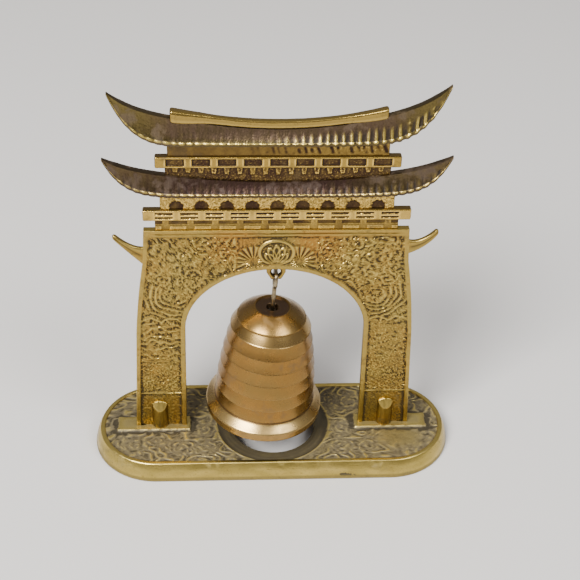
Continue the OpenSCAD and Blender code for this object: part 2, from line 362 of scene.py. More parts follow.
PETALS_Z, MEDALLION_Z = 85.9, 90.1     # foot of the lotus and middle of its ring
FAN_X, FAN_Z = 8.2, 86.2


def bend(a, b, c, t):
    """Point of the curve from a to c pulled towards b."""
    t = np.asarray(t, float)[:, None]
    a, b, c = (np.asarray(p, float) for p in (a, b, c))
    return (1 - t) ** 2 * a + 2 * t * (1 - t) * b + t**2 * c


def gate_side(t):
    """The curved stretch of the gate's outer side, from the waist down to the leg."""
    return bend(WAIST, WAIST_PULL, (LEG_HALF[1], LEG_TOP_Z), t)


def gate_stations():
    """Matching inner and outer outline points, arch centre to right foot."""
    top, shoulder, leg = 136, 100, 136
    turn = 0.30 * math.pi              # the ellipse angle that faces the top corner
    angle = np.concatenate([np.linspace(math.pi / 2, turn, top, endpoint=False),
                            np.linspace(turn, 0, shoulder, endpoint=False)])
    down = np.linspace(0, 1, leg)[:, None]
    arch = np.stack([ARCH_HALF[1] * np.cos(angle),
                     SPRING_Z + (ARCH_TOP - SPRING_Z) * np.sin(angle)], 1)
    inner_leg = (1 - down) * [ARCH_HALF[1], SPRING_Z] + down * [ARCH_HALF[0], SEAT_Z]
    across = np.linspace(0, SHOULDER_HALF, top, endpoint=False)
    outer_top = np.stack([across, np.full(top, GATE_TOP)], 1)
    side = np.vstack([[[SHOULDER_HALF, GATE_TOP]], gate_side(np.linspace(0, 1, 40))])
    run = np.concatenate([[0], np.cumsum(np.hypot(*np.diff(side, axis=0).T))])
    want = np.linspace(0, run[-1], shoulder, endpoint=False)
    outer_side = np.stack([np.interp(want, run, side[:, k]) for k in (0, 1)], 1)
    outer_leg = (1 - down) * [LEG_HALF[1], LEG_TOP_Z] + down * [LEG_HALF[0], SEAT_Z]
    return np.vstack([arch, inner_leg]), np.vstack([outer_top, outer_side, outer_leg])


def outer_half(z):
    """The gate's outer half-width at a height."""
    line = gate_side(np.linspace(1, 0, 30))
    heights = np.concatenate([[SEAT_Z], line[:, 1], [GATE_TOP]])
    widths = np.concatenate([[LEG_HALF[0]], line[:, 0], [SHOULDER_HALF]])
    return np.interp(z, heights, widths)


def arch_gap(x, z):
    """Distance from a point of the gate to the arch opening's edge."""
    ax, up = np.abs(x), np.maximum(z - SPRING_Z, 0)
    rise = ARCH_TOP - SPRING_Z
    ring = np.sqrt((ax / ARCH_HALF[1]) ** 2 + (up / rise) ** 2) + 1e-9
    slope = np.hypot(ax / ARCH_HALF[1] ** 2, up / rise**2) / ring
    low = ax - np.interp(z, [SEAT_Z, SPRING_Z], ARCH_HALF)
    return np.where(z > SPRING_Z, (ring - 1) / slope, low)


def pack_curls(seed, radii, tries, room):
    """Circles packed by seeded trial: room(x, z) says how much space a point has."""
    rng = np.random.default_rng(seed)
    curls = []
    for radius in radii:
        for x, z, turn, hand in zip(rng.uniform(0, 60, tries), rng.uniform(0, 100, tries),
                                    rng.uniform(0, 1, tries), rng.choice([-1, 1], tries)):
            if room(x, z) < 0.75 * radius:
                continue
            if all(math.hypot(x - c[0], z - c[1]) > 0.86 * (radius + c[2]) for c in curls):
                curls.append((x, z, radius, turn, hand))
    return curls


def draw_curls(x, z, curls, pitch=1.75):
    """Height 0 to 1 of spiral scrolls, and where they cover the field."""
    height, cover = np.zeros_like(x), np.zeros_like(x)
    for cx, cz, radius, turn, hand in curls:
        near = np.hypot(x - cx, z - cz) < radius
        dx, dz = x[near] - cx, z[near] - cz
        r = np.hypot(dx, dz) * (1 + 0.30 * N_WARP(x[near] / 2.2, z[near] / 2.2))
        phase = r / pitch - hand * np.arctan2(dz, dx) / TAU + turn
        fade = smooth(radius, radius - 1.2, r)
        broken = smooth(-0.55, 0.1, N_LEAF(x[near] / 1.7 + turn * 9, z[near] / 1.7))
        crest = ridge(phase, 1.1) * fade * broken
        height[near] = np.maximum(height[near], crest)
        cover[near] = np.maximum(cover[near], fade)
    return height, cover


def gate_room(x, z):
    """Space for a scroll at a point of the right half of the gate."""
    if z > 96.5 or z < 58 or x < 9:
        return -1
    return float(min(arch_gap(np.array(x), np.array(z)) - 2.2,
                     outer_half(z) - 1.9 - x, 96.6 - z))


GATE_CURLS = pack_curls(5, (4.4, 3.2, 2.4), 260, gate_room)


def lotus(x, z):
    """The middle medallion: a cup of five petals inside a ring, fans beside it."""
    ax, dz, height = np.abs(x), z - PETALS_Z, np.zeros_like(x)
    for lean, length, width in ((-0.85, 5.6, 1.5), (0.85, 5.6, 1.5), (-0.42, 6.9, 1.5),
                                (0.42, 6.9, 1.5), (0.0, 7.6, 1.4)):
        along = dz * math.cos(lean) + x * math.sin(lean)
        across = x * math.cos(lean) - dz * math.sin(lean)
        shape = (along - length / 2) ** 2 / (length / 2) ** 2 + across**2 / width**2
        petal = smooth(1.25, 0.75, shape) * (1 - 0.75 * smooth(0.75, 0.2, shape))
        height = np.maximum(height, petal)
    ring = np.hypot(x / 6.2, (z - MEDALLION_Z) / 5.0)
    height = np.maximum(height, 0.9 * smooth(0.16, 0.05, np.abs(ring - 1)))
    fan_r = np.hypot(ax - FAN_X, z - FAN_Z)
    fan_a = np.arctan2(z - FAN_Z, ax - FAN_X)
    fan = ridge(fan_a * 18 / TAU, 0.7) * smooth(7.4, 6.4, fan_r) * smooth(0.8, 2, fan_r)
    fan = fan * smooth(0.98, 1.12, ring) * smooth(15.5, 13.0, ax)
    return np.maximum(height, 0.75 * fan), smooth(15.0, 13.5, ax)


def curtain(x, z, gap, wide, crumbs):
    """The shoulders' layered arcs, like drawn-back curtains, and where they lie."""
    ax = np.abs(x)
    r = np.hypot(ax - CURTAIN_X, (z - CURTAIN_Z) * 1.05)
    arcs = ridge(r / 1.9 + 0.5 * N_BROAD(x / 6, z / 6), 1.1) * (0.75 + 0.4 * wide)
    place = smooth(13.5, 11, r + 1.5 * N_BROAD(x / 3, z / 3)) * smooth(2.2, 3.2, gap)
    place = place * smooth(0.9, 0.2, (z - CURTAIN_Z) / 4 - (ax - 40) / 9) * smooth(3.5, 5.0, r)
    return np.maximum(arcs, 0.55 * crumbs), place


def leg_pattern(x, z, stipple, wide):
    """Loose waves that die away downwards into stipple."""
    wave = ridge((z + 2.6 * N_WARP(x / 6, z / 5) + 1.2 * N_BROAD(x / 2.5, z / 3)) / 2.9, 1.2)
    wave = np.maximum(wave, 0.7 * swirl(x + 7, z, 2.2)) * (0.7 + 0.4 * stipple)
    strong = np.where(x < 0, 1.0, 0.5) * smooth(32, 46, z)
    carved = np.maximum(wave * strong, 0.62 * stipple + 0.25 * np.clip(wide, 0, 1))
    return carved * (0.45 + 0.55 * smooth(23, 26, z))


def border_height(x, z):
    """The smooth border, with two fine grooves along the top and a few chips."""
    groove = 0.22 * smooth(0.28, 0.08, np.abs(z - 98.55)) \
        + 0.2 * smooth(0.3, 0.1, np.abs(z - 97.2))
    chips = np.clip(N_LEAF(x / 1.3 + 3, z / 1.3) - 0.62, 0, 1) * 1.1
    return -groove * smooth(46, 43, np.abs(x)) + 0.03 * N_BROAD(x / 2, z / 2) \
        - np.minimum(chips, 0.25)


def gate_height(x, z, back):
    """Height in mm of the gate's face over the border's level, and its polish."""
    ax = np.abs(x)
    gap_in, gap_out = arch_gap(x, z), outer_half(z) - ax
    wobble = 0.12 * N_BROAD(x / 3, z / 3)
    field = smooth(1.65, 2.0, gap_in + wobble) * smooth(1.5, 1.85, gap_out + wobble)
    field = field * smooth(FIELD_TOP, FIELD_TOP - 0.3, z + 0.6 * wobble)
    curls, cover = draw_curls(ax, z, GATE_CURLS)
    crumbs = foliage(x, z, 1.1)
    stipple = np.clip(N_FINE(x / 0.62, z / 0.62) * 1.7 + 0.15, 0, 1)
    wide = N_FINE(x / 1.1 + 9, z / 0.9)
    flow = swirl(x, z, 1.7, 3.0) * (0.65 + 0.5 * stipple)
    spandrel = np.maximum.reduce([curls * 0.9, (1 - 0.6 * cover) * flow, 0.85 * crumbs])
    arcs, shoulder = curtain(x, z, gap_in, wide, crumbs)
    spandrel = spandrel * (1 - shoulder) + shoulder * arcs
    upper = smooth(*LEG_FIELD_TOP, z + 1.5 * N_BROAD(x / 5, 3.0))
    carved = np.where(upper > 0.5, spandrel, leg_pattern(x, z, stipple, wide))
    hem_z = HEM_Z + 1.7 * np.abs(np.sin((ax - 34.6) * math.pi / HEM_PITCH)) \
        + 0.5 * N_BROAD(x / 3, 8.0)
    hem = smooth(0.75, 0.2, np.abs(z - hem_z)) * smooth(0.5, 1.4, gap_in)
    carved = np.maximum(carved, hem * 0.95)
    petals, middle = lotus(x, z)
    carved = carved * (1 - middle) + middle * np.maximum(petals, 0.25 * stipple)
    carved = np.maximum(carved, 0.7 * smooth(0.5, 0.15, np.abs(z - LEG_LINE_Z)))
    worn = 0.8 + 0.2 * N_BROAD(x / 9 + 5, z / 9)
    height = -GATE_RECESS + (GATE_RECESS + 0.10) * carved * worn + 0.05 * wide
    height = border_height(x, z) * (1 - field) + height * field
    return height * (0.8 if back else 1.0), 1 - field


def gate_shell():
    """The gate as one closed sweep from the left foot over the arch to the right."""
    flip = np.array([-1, 1])
    inner, outer = (np.vstack([half[:0:-1] * flip, half]) for half in gate_stations())
    width = np.hypot(*(outer - inner).T)[:, None]
    corner = np.arange(1, 4) * math.pi / 8

    def face(rows, side):
        """One face's grids, from the inner edge to the outer one."""
        share = np.linspace(0, 1, rows)[None, :]
        t = EDGE_ROUND / width + share * (1 - 2 * EDGE_ROUND / width)
        x = inner[:, :1] + (outer - inner)[:, :1] * t
        z = inner[:, 1:] + (outer - inner)[:, 1:] * t
        height, polish = gate_height(x, z, side > 0)
        level = raised(height, 4, 2.3) - 0.07 * smooth(27, 22, z) \
            + 0.14 * N_BROAD(x / 7, z / 7 + 20)
        level = level * (1 - polish) + polish * np.clip(0.70 + height, 0, 1)
        return x, side * (GATE_HALF_T - 0.1 + height), z, level, warmth_at(x, z)

    def edge(rim, away, front, back):
        """The rounded edge between the two faces, from front to back."""
        y0, y1 = front[:, None], back[:, None]
        inset = EDGE_ROUND * (1 - np.sin(corner))
        inset = np.concatenate([inset, [0, 0], inset[::-1]])[None, :]
        soft = EDGE_ROUND * (1 - np.cos(corner))
        y = np.hstack([y0 + soft, y0 * 0.4, y1 * 0.4, y1 - soft[::-1]])
        x, z = (rim[:, k:k + 1] - away[:, k:k + 1] * inset for k in (0, 1))
        return x, y, z, 0.8, warmth_at(x, z)

    front, back = face(64, -1), face(32, 1)
    away = (outer - inner) / width
    outer_edge = edge(outer, away, front[1][:, -1], back[1][:, -1])
    inner_edge = edge(inner, -away, front[1][:, 0], back[1][:, 0])
    return wrapped(front, outer_edge, flipped(*back), flipped(*inner_edge))


def warmth_at(x, z):
    """Where the casting is warmer in colour: beside the medallion."""
    return smooth(13, 3, np.abs(np.abs(x) - 15)) * smooth(84, 90, z)


def horn_shell(side):
    """A side horn, grooved along its faces, with a softly rounded tip."""
    t = np.linspace(0, 1, 70)
    if side > 0:
        upper = bend((45.6, 95.6), (50.8, 92.2), (57.2, 99.6), t)
        lower = bend((45.6, 88.2), (54.0, 91.0), (58.0, 97.9), t)
    else:                               # the left one sits lower and has a deeper root
        upper = bend((45.6, 92.8), (50.6, 90.8), (57.6, 98.0), t)
        lower = bend((45.6, 82.8), (53.2, 90.4), (58.4, 96.6), t)
    close = np.sqrt(np.clip((1 - t) / 0.05, 0, 1))[:, None]
    middle, half = (upper + lower) / 2, (upper - lower) / 2 * (0.35 + 0.65 * close)
    out, up = squared(np.linspace(0, TAU, 32, endpoint=False)[None, :], 0.55)
    groove = 1 - 0.28 * smooth(0.45, 0.1, np.abs(up + 0.1)) * smooth(0.02, 0.3, t)[:, None]
    x = middle[:, :1] + half[:, :1] * up
    z = middle[:, 1:] + half[:, 1:] * up
    y = -out * (0.35 + 0.6 * close) * groove + 0.02 * N_FINE(x * 1.5, z * 1.5)
    level = 0.8 * (0.25 + 0.6 * smooth(0.72, 1.0, groove))
    return np.stack([side * x, y * side, z], 2), level


def squared(angle, power):
    """Across and up round a circle whose corners are squared by a power below 1."""
    c, s = np.cos(angle), np.sin(angle)
    return np.sign(c) * np.abs(c) ** power, np.sign(s) * np.abs(s) ** power


def lug_shell():
    """The lug under the arch with its round hole, as a ring of sections."""
    hole_z, hole_r, half_t, half_w = 81.4, 1.8, 1.1, 3.5
    up, down = 2.4, 3.0                 # from the hole's middle to the lug's ends
    angle = np.linspace(0, TAU, 120, endpoint=False)
    dx, dz = np.cos(angle), np.sin(angle)
    least = 1e-6
    reach = np.minimum.reduce([
        half_w / np.maximum(np.abs(dx), least),
        np.where(dz < 0, down / np.maximum(-dz, least), up / np.maximum(dz, least)),
        half_w / np.maximum(np.abs(dx) - dz * 0.55, least),
    ])[:, None]
    front = [(0, -0.62), (0.12, -0.9), (0.35, -1), (0.6, -1), (0.86, -1), (0.96, -0.85),
             (1, -0.5)]
    out, y = np.array(front + [(share, -y) for share, y in front[::-1]]).T
    r = hole_r + (reach - hole_r) * out
    rings = np.stack([dx[:, None] * r, half_t * y + 0 * r, hole_z + dz[:, None] * r], 2)
    # the hole's wall and inner edge are painted dark as painted shade inside the hole
    return rings, np.broadcast_to(np.where(out < 0.2, 0.1, 0.62), r.shape)


def boss_shell(side):
    """A leg boss: a round post with its top filed down to the front and the back."""
    radius, top, filed = 3.3, 20.4, 16.6
    angle = np.linspace(0, TAU, 72, endpoint=False)[:, None]
    wall = np.linspace(0, 1, 26)[None, :]
    cap = np.linspace(1, 0.02, 22)[None, :]
    x0, y0 = np.cos(angle), np.sin(angle)

    def roof(x, y):
        """Height of the filed top, rounded over to the left and right."""
        fall = np.clip(np.abs(y) - GATE_HALF_T, 0, None) / (radius - GATE_HALF_T)
        return top - 0.25 - fall * (top - filed) - 1.0 * x**2

    dent = 0.05 * N_BROAD(angle * 4 + side, wall * 5)
    wall_r = radius - 0.05 + dent
    z_wall = SEAT_Z + (roof(x0, radius * y0) - SEAT_Z) * wall
    x_cap, y_cap = x0 * cap * (radius - 0.18), y0 * cap * (radius - 0.18)
    hammered = N_BROAD(x_cap * 0.9 + 7 * side, y_cap * 0.9)
    z_cap = roof(x0 * cap, y_cap) + 0.18 * (1 - cap**6) + 0.16 * hammered * (1 - cap**4)
    x = np.hstack([wall_r * x0, x_cap]) + side * LEG_X
    y, z = np.hstack([wall_r * y0, y_cap]), np.hstack([z_wall, z_cap])
    level = np.hstack([0.30 + 3 * dent + 0.30 * wall, 0.85 + 0.25 * hammered])
    return np.stack([x, y, z], 2).transpose(1, 0, 2), level.T


def build_gate(material):
    shape = Shape()
    shape.loft(*gate_shell())
    for side in (-1, 1):
        for rings, level in (horn_shell(side), boss_shell(side)):
            shape.loft(rings, level, 0.0)
    rings, level = lug_shell()
    shape.band(rings[::-1], level[::-1], 0.0)
    shape.build("gate_cast", "stand", "gate_arch", material)


# ---- friezes


def block_shell(half, low, high, half_t, pattern, lift):
    """A closed bar across the gate with a relief pattern on its front and back.

    low and high are heights, or functions of x. pattern(x, v, z) gives the height in
    mm over the face and the tone, with v from 0 at the bottom to 1 at the top. lift
    brightens what is not toned."""
    step, rows, edge_round = 0.2, 30, 0.28
    count = int(2 * half / step)
    x = np.linspace(-half, half, count)
    close = np.sqrt(np.clip((half - np.abs(x)) / 0.3, 0, 1))
    inset = (edge_round * (1 - close))[:, None]
    z_low, z_high = ((line(x) if callable(line) else np.full(count, float(line)))[:, None]
                     for line in (low, high))
    z_low, z_high, x = z_low + inset, z_high - inset, x[:, None]
    v = np.linspace(0, 1, rows)[None, :]
    z = z_low + 0.12 + (z_high - z_low - 0.24) * v
    rim = 0.14 * (1 - smooth(0, 0.06, v) * smooth(1, 0.94, v))

    def face(side):
        """The grids of the front (side -1) or the back (side 1)."""
        height, tone = pattern(-side * x + 0 * z, v + 0 * z, z)
        level = raised(height, 4, 2.4) + lift * (1 - tone)
        return x, side * (half_t - 0.1 - inset - rim + height), z, level, tone

    lid = np.array([0.75, 0.25, -0.25, -0.75])[None, :] * (half_t - inset)
    return wrapped(face(-1), (x, -lid, z_high, 0.3, 0.3), flipped(*face(1)),
                   (x, lid, z_low, 0.3, 0.3))


def groups(x, pitch):
    """Signed distance from x to the middle of its group."""
    return x - pitch * np.round(x / pitch)


def neck1_pattern(x, v, z):
    """Dark dashes over small raised tabs."""
    d = np.abs(groups(x, 8.7))
    grit = 0.5 * foliage(x, z, 0.8) + 0.25 * N_FINE(x / 0.5, z / 0.5)
    tab = smooth(3.0, 2.7, d) * smooth(0.46, 0.40, v) * smooth(0.10, 0.16, v)
    dash = smooth(3.4, 3.1, d) * smooth(0.58, 0.64, v) * smooth(0.92, 0.86, v)
    height = -0.12 + 0.12 * grit + 0.22 * tab - 0.16 * dash
    return height, np.clip(0.35 + 0.5 * dash - 0.5 * tab + 0.4 * N_BROAD(x / 5, 2.0), 0, 1)


def beam1_pattern(x, v, z):
    """Two rows of sunk dashes between three thin rails."""
    d = np.abs(groups(x - 4.4, 8.8))
    inside = smooth(44.6, 43.8, np.abs(x))
    ragged = 0.35 * N_FINE(x / 0.7, z / 0.7)
    slot = smooth(3.25, 2.9, d + 0.25 * ragged)
    rows = smooth(0.13, 0.07, np.abs(v - 0.28 + 0.02 * ragged)) \
        + smooth(0.14, 0.08, np.abs(v - 0.70 + 0.02 * ragged))
    dash = slot * rows * inside * smooth(0.0, 0.35, 0.42 + ragged)
    height = -0.42 * dash + 0.03 * N_BROAD(x / 2, z / 2)
    return height, np.clip(dash, 0, 1)


def neck2_pattern(x, v, z):
    """Scalloped hollows between worn bright crumbs."""
    d = groups(x, 8.8)
    dip = np.hypot(d / 2.7, (v - 0.16) / 0.42)
    hollow = smooth(1.1, 0.8, dip + 0.12 * N_FINE(x / 0.8, z / 0.8))
    crumbs = foliage(x + 3, z, 0.9)
    height = -0.15 + 0.26 * crumbs * (1 - 0.7 * hollow) - 0.2 * hollow
    return height, np.clip(hollow, 0, 1)


def neck3_pattern(x, v, z):
    """Grainy dark band with a row of small brackets."""
    d = np.abs(groups(x, 4.4))
    grit = foliage(x, z + 5, 0.75)
    bracket = smooth(1.15, 0.8, d + 0.8 * (0.9 - v)) * smooth(0.42, 0.56, v)
    height = -0.2 + 0.16 * grit + 0.30 * bracket
    return height, np.clip(1 - 0.55 * bracket * smooth(-0.2, 0.6, N_BROAD(x / 4, 1.5)), 0, 1)


def beam2_pattern(x, v, z):
    """Thin rails over sunk panels with upright bars between them."""
    d = np.abs(groups(x - 0.2, 8.85))
    inside = smooth(39.9, 39.4, np.abs(x))
    sunk = smooth(3.2, 2.95, d) * smooth(0.14, 0.20, v) * smooth(0.88, 0.82, v) * inside
    grit = N_FINE(x / 0.55, z / 0.55)
    height = -sunk * (0.46 - 0.10 * grit) + 0.025 * N_BROAD(x / 2, z / 2)
    return height, np.clip(sunk, 0, 1)


def neck4_pattern(x, v, z):
    """Smooth on the left, with more and more slanted notches to the right."""
    ramp = smooth(-18, 22, x)
    notch = ridge((x + 1.4 * (v - 0.5)) / 2.25 + 0.3 * N_BROAD(x / 5, 7.0), 1.6)
    notch = notch * smooth(0.1, 0.35, v) * smooth(-0.35, 0.25, N_BROAD(x / 3.4, z / 3.4 + 4))
    height = -0.1 - 0.24 * notch * ramp + 0.10 * foliage(x, z, 0.9) * (0.25 + 0.75 * ramp)
    # the tone away from the notches is painted shade under the upper roof, deepest on the left
    return height, np.clip(0.9 * notch * ramp + 0.72 - 0.25 * ramp, 0, 1)


BEAM_H, BEAM_HALF_T, NECK_HALF_T = 4.2, 1.7, 0.9
BEAM1_Z, BEAM2_Z = 104.2, 125.5
OVERLAP = 0.2                          # a neck runs this far into its beam


def neck(half, low, high, pattern, lift):
    return block_shell(half, low, high, NECK_HALF_T, pattern, lift)


def beam(half, z, pattern, lift):
    return block_shell(half, z, z + BEAM_H, BEAM_HALF_T, pattern, lift)


# ---- roofs


class RoofLine:
    """The curves of one roof. u runs from -1 at the left tip to 1 at the right."""

    REACH, TIP = 3.7, 0.8

    def __init__(self, node, ridge_curve, eave_curve, droop):
        self.half = node_box(node)[1][0]
        self.ridge_curve, self.eave_curve, self.droop = ridge_curve, eave_curve, droop

    def top(self, x):
        u, (base, rise, flick) = x / self.half, self.ridge_curve
        return base + rise * u**2 + flick * np.abs(u) ** 8 - self.sag(u)

    def low(self, x):
        u, (base, rise, power) = x / self.half, self.eave_curve
        return base + rise * np.abs(u) ** power - self.sag(u)

    def sag(self, u):
        """How far the left end hangs below the right one: the casting is not quite even."""
        return self.droop * np.clip(-u - 0.45, 0, 1) ** 1.3 / 0.55**1.3

    def reach(self, x):
        return self.TIP + (self.REACH - self.TIP) * (1 - np.abs(x / self.half) ** 6)


LOWER = RoofLine("lower_roof", (119.8, 6.2, 3.2), (115.0, 13.4, 9), 0.5)
UPPER = RoofLine("upper_roof", (140.3, 11.2, 4.5), (135.0, 20.2, 7.2), 2.6)
RIB_PITCH, NOTCH_PITCH = 2.7, 4.0


def roof_shell(line, strength, tone_of, notch_from, seed, rib_sharp, shine):
    """A swept roof: ribbed slopes front and back, a scalloped rim, a plain underside."""
    x = np.linspace(-line.half, line.half, 620)[:, None]
    u = x / line.half
    tip = np.abs(u)
    top, low, reach = line.top(x), line.low(x), line.reach(x)
    edge = np.minimum(1.0, (top - low) / 2)
    crown = np.minimum(1.4, 0.7 * reach)
    wander = Noise(seed)

    def slope(rows, side):
        """The grids of the front (side -1) or back slope, from the ridge to the rim."""
        v = np.linspace(0, 1, rows)[None, :] + 0 * x
        face = -side * x + 0 * v
        out = crown + (reach - crown) * (0.55 * v + 0.45 * v**2)
        z = top + (low + edge - top) * v
        rib = ridge(face / RIB_PITCH + 0.12 * wander(face / 4, 2.0 + v), rib_sharp)
        power = strength(face / line.half) * smooth(0.2, 0.85, v + 0.10 * wander(face / 3, 5.0))
        height = (rib - 0.5) * 0.62 * power * smooth(1.0, 0.86, tip)
        height = height + 0.05 * wander(face / 0.8, z / 5) + 0.04 * wander(face / 0.5, z / 0.7)
        rim = smooth(0.91, 0.97, v)
        bead = rim * (0.10 + 0.15 * ridge(face / RIB_PITCH, 0.6)) * smooth(1.0, 0.9, tip)
        cut = ridge((face + 1.2 * v) / NOTCH_PITCH, 3.0) \
            * smooth(notch_from, notch_from + 0.04, face / line.half) \
            * smooth(0.45, 0.62, v) * smooth(0.97, 0.9, v) * smooth(0.97, 0.93, tip)
        height = height + bead - 0.30 * cut
        level = np.clip(0.46 + shine * (height - soften(height, 7)), 0, 1)
        # a painted glint along the eave's rim
        level = np.clip(level + 0.6 * rim * (0.6 + 0.6 * wander(face / 1.4, 9.0)), 0, 1)
        return x, side * (out + height * 0.8), z, level, tone_of(face / line.half, v, face, wander)

    def rim_under(slope_grids, side):
        """The eave's edge under a slope's last row."""
        v = np.array([[0.35, 0.75, 1.0]])
        scallop = 0.06 * ridge(x / RIB_PITCH, 0.6) * smooth(1.0, 0.9, tip)
        y, z = slope_grids[1][:, -1:], slope_grids[2][:, -1:]
        return x, y + side * (scallop - 0.10 * v), z - (z - low) * v, 0.35, 0.3

    front, back = slope(46, -1), slope(30, 1)
    k = np.array([[0.8, 0.4, 0.0, -0.4, -0.8]])
    under = (x, -reach * k, low + 0.15 * edge * (1 - k**2), 0.3, 0.5)
    k = np.array([[0.6, 0.0, -0.6]])
    ridge_top = (x, crown * k, top + 0.12 * (1 - k**2) * np.minimum(1, reach), 0.5, 0.4)
    rings, relief, tone = wrapped(front, rim_under(front, -1), under,
                                  flipped(*rim_under(back, 1)), flipped(*back), ridge_top)
    return rings[::-1], relief[::-1], tone[::-1]


def lower_tone(u, v, x, wander):
    """Dark red-brown in the middle, brown to the left, lighter olive to the right."""
    middle = smooth(0.8, 0.35, np.abs(u + 0.08))
    streak = 0.25 * wander(x / 1.3, v * 1.2)
    return np.clip(0.35 + 0.65 * middle - 0.35 * smooth(0.3, 0.75, u) + streak
                   - 0.55 * smooth(0.88, 0.97, v), 0, 1)


def upper_tone(u, v, x, wander):
    """Mauve-brown in the middle; the horns stay olive."""
    middle = smooth(0.86, 0.6, np.abs(u))
    streak = 0.22 * wander(x / 1.3, v * 1.2)
    return np.clip(0.85 * middle + streak * middle - 0.75 * smooth(0.66, 0.97, v), 0, 1)


def ridge_cap_shell():
    """The polished bar along the upper ridge, thicker towards its rounded ends."""
    half = node_box("ridge_cap")[1][0] + 0.8
    x = np.linspace(-half, half, 300)[:, None]
    flare = smooth(0.55, 1.0, np.abs(x) / half) * np.where(x < 0, 1.0, 0.6)
    half_t, tall, sink = 1.3 + 0.75 * flare, 2.9 + 1.9 * flare, 1.7 * flare
    close = np.sqrt(np.clip((half - np.abs(x)) / 0.7, 0, 1))
    around = np.linspace(0, TAU, 44, endpoint=False)[None, :]
    c, s = np.cos(around), np.sin(around)
    out, up = squared(around, 0.5)
    y = out * half_t * (0.75 + 0.25 * close)
    z = UPPER.top(x) - sink + tall / 2 + up * tall / 2 * (0.82 + 0.18 * close)
    y = y + 0.03 * N_BROAD(x / 3, s * 2) + 0.012 * N_FINE(x / 0.7, c * 3 + s)
    # painted light: a sheen rising to the top, a painted highlight line low on each face, painted
    # shadow along the bottom
    level = 0.60 + 0.15 * up + 0.35 * smooth(-0.2, -0.45, up) - 0.9 * smooth(-0.6, -0.85, up)
    return np.stack([x + 0 * y, y, z], 2), np.clip(level, 0, 1), 0.0


# ---- base

base_low, base_high = node_box("base_casting")
END_R = (base_high[1] - base_low[1]) / 2
END_X = (base_high[0] - base_low[0]) / 2 - END_R
FIELD_R, FIELD_Z, RIM_Z = 21.2, 7.0, 7.6
HOLE_R, RING_R, RING_Z = 16.5, 22.0, 6.6
PLATE_Z = 4.4                          # the plate's underside
PAD_X, PAD_HALF_Y, PAD_Z = (32.7, 61.0), 3.8, 7.8
CURL_SHIFT = 50                        # keeps the scrolls' draws above zero
RUBBED = (50, -8.5)                    # a worn patch at the front right
FLAW_X = 27.5                          # a casting flaw low on the front wall


def oval_points(radius, theta):
    """Where rays from the middle at theta meet the oval of that end radius."""
    c, s = np.cos(theta), np.sin(theta)
    flat = radius / np.maximum(np.abs(s), 1e-9)
    on_flat = flat * np.abs(c) <= END_X
    across = np.abs(c) * END_X
    reach_end = across + np.sqrt(np.maximum(across**2 - END_X**2 + radius**2, 0))
    reach = np.where(on_flat, flat, reach_end)
    return np.stack([reach * c, reach * s], -1)


def base_room(x, y):
    """Space for a scroll at a point of the right half of the base's field."""
    y = y - CURL_SHIFT
    if x > END_X:
        edge = FIELD_R - math.hypot(x - END_X, y)
    else:
        edge = FIELD_R - abs(y)
    pad = max(PAD_X[0] - x, x - PAD_X[1], abs(y) - PAD_HALF_Y)
    return min(edge - 0.9, math.hypot(x, y) - RING_R - 0.8, pad - 0.8)


BASE_CURLS = pack_curls(8, (5.4, 4.0, 3.0), 300, base_room)


def base_height(x, y):
    """Height in mm of the base's top inside the rim, with its relief and tone."""
    r, ax = np.hypot(x, y), np.abs(x)
    curls, cover = draw_curls(ax, y + CURL_SHIFT, BASE_CURLS, 2.3)
    flow = swirl(x * 0.8, y * 1.2, 2.0) ** 2.2
    carved = np.maximum.reduce([0.8 * curls, (1 - 0.6 * cover) * flow,
                                0.45 * foliage(x, y, 2.1)])
    ground = FIELD_Z - 0.24 + 0.36 * carved + 0.04 * N_FINE(x / 0.8, y / 0.8)
    ring_z = RING_Z + 0.10 + 0.03 * N_BROAD(x / 4, y / 4) - 0.04 * ridge(r / 1.6)
    on_ring = smooth(RING_R + 0.15, RING_R - 0.15, r)
    z = ground * (1 - on_ring) + ring_z * on_ring
    lip = smooth(0.55, 0.1, np.abs(r - RING_R - 0.35))
    z = np.maximum(z, (FIELD_Z + 0.12) * lip + z * (1 - lip))
    inside = np.minimum.reduce([ax - PAD_X[0], PAD_X[1] - ax, PAD_HALF_Y - np.abs(y)])
    on_pad = smooth(-0.35, 0.15, inside)
    z = z * (1 - on_pad) + (PAD_Z + 0.02 * N_BROAD(x / 3, y / 3)) * on_pad
    away = np.hypot((x - RUBBED[0]) * 0.8, y - RUBBED[1])
    rubbed = smooth(9.5, 4.0, away + 1.5 * N_BROAD(x / 4, y / 4)) * (1 - on_pad)
    z = z + rubbed * (FIELD_Z + 0.12 - z) * 0.55
    level = raised(z, 5, 2.0) - 0.04
    for part, shade in ((on_ring, 0.26), (lip, 0.6), (on_pad, 0.6)):
        level = level * (1 - part) + part * np.clip(shade + 0.4 * (level - 0.5), 0, 1)
    return z, level, 1 - 0.35 * on_pad - 0.35 * rubbed


def steps_between(a, b, count):
    """Points from a towards b, without b itself."""
    return [tuple(np.asarray(a) * (1 - k / count) + np.asarray(b) * (k / count))
            for k in range(count)]


